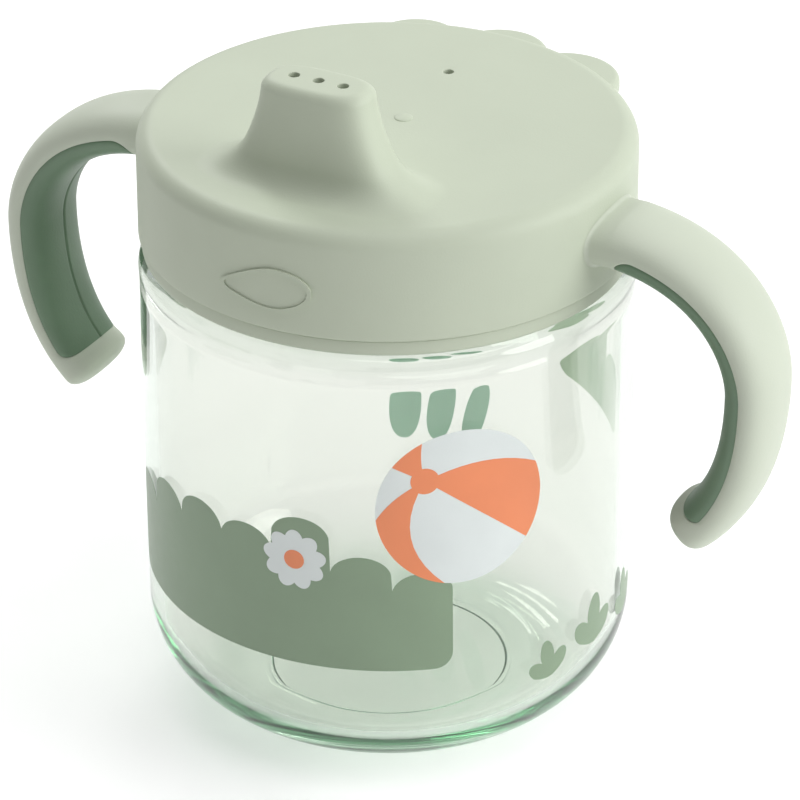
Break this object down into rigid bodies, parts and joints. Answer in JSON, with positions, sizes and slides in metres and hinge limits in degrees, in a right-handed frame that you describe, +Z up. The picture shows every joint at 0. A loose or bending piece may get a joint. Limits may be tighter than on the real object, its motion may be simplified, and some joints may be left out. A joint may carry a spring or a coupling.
{
  "type": "sippy cup",
  "caption": "Clear toddler's training cup with a screw-on lid, a flared drinking spout, a vent hole, lift lobes at the back and a pair of open C-shaped handles with soft grips.",
  "frame": {"origin": "centre of the cup's flat underside", "axes": "+Z up along the cup's axis, -Y towards the spout, +X and -X towards the two handles"},
  "size_m": [0.1396, 0.0825, 0.1183],
  "materials": {
    "clear_plastic": "clear, slightly green, polished",
    "lid_plastic": "sage green, satin moulded",
    "handle_plastic": "sage green, satin moulded",
    "soft_grip": "dark green, soft matte",
    "silicone": "milky, soft matte"
  },
  "bodies": {
    "cup": {"cup": "clear_plastic"},
    "seal": {"seal_ring": "silicone"},
    "lid": {"cap": "lid_plastic", "collar": "lid_plastic", "left_handle": "handle_plastic", "right_handle": "handle_plastic", "left_grip": "soft_grip", "right_grip": "soft_grip"},
    "valve": {"valve": "silicone"}
  },
  "joints": [
    {"name": "lid_lift", "type": "slide", "parent": "cup", "child": "seal", "axis": [0, 0, 1], "range_m": [0, 0.01351]},
    {"name": "lid_turn", "type": "hinge", "parent": "seal", "child": "lid", "pos_m": [0, 0, 0.09], "axis": [0, 0, 1], "range_deg": [0, 360]},
    {"name": "valve_pull", "type": "slide", "parent": "lid", "child": "valve", "axis": [0, 0, -1], "range_m": [0, 0.01]}
  ],
  "couplings": [
    {"joint": "lid_lift", "follows": "lid_turn", "m_per_rad": 0.0021486}
  ]
}
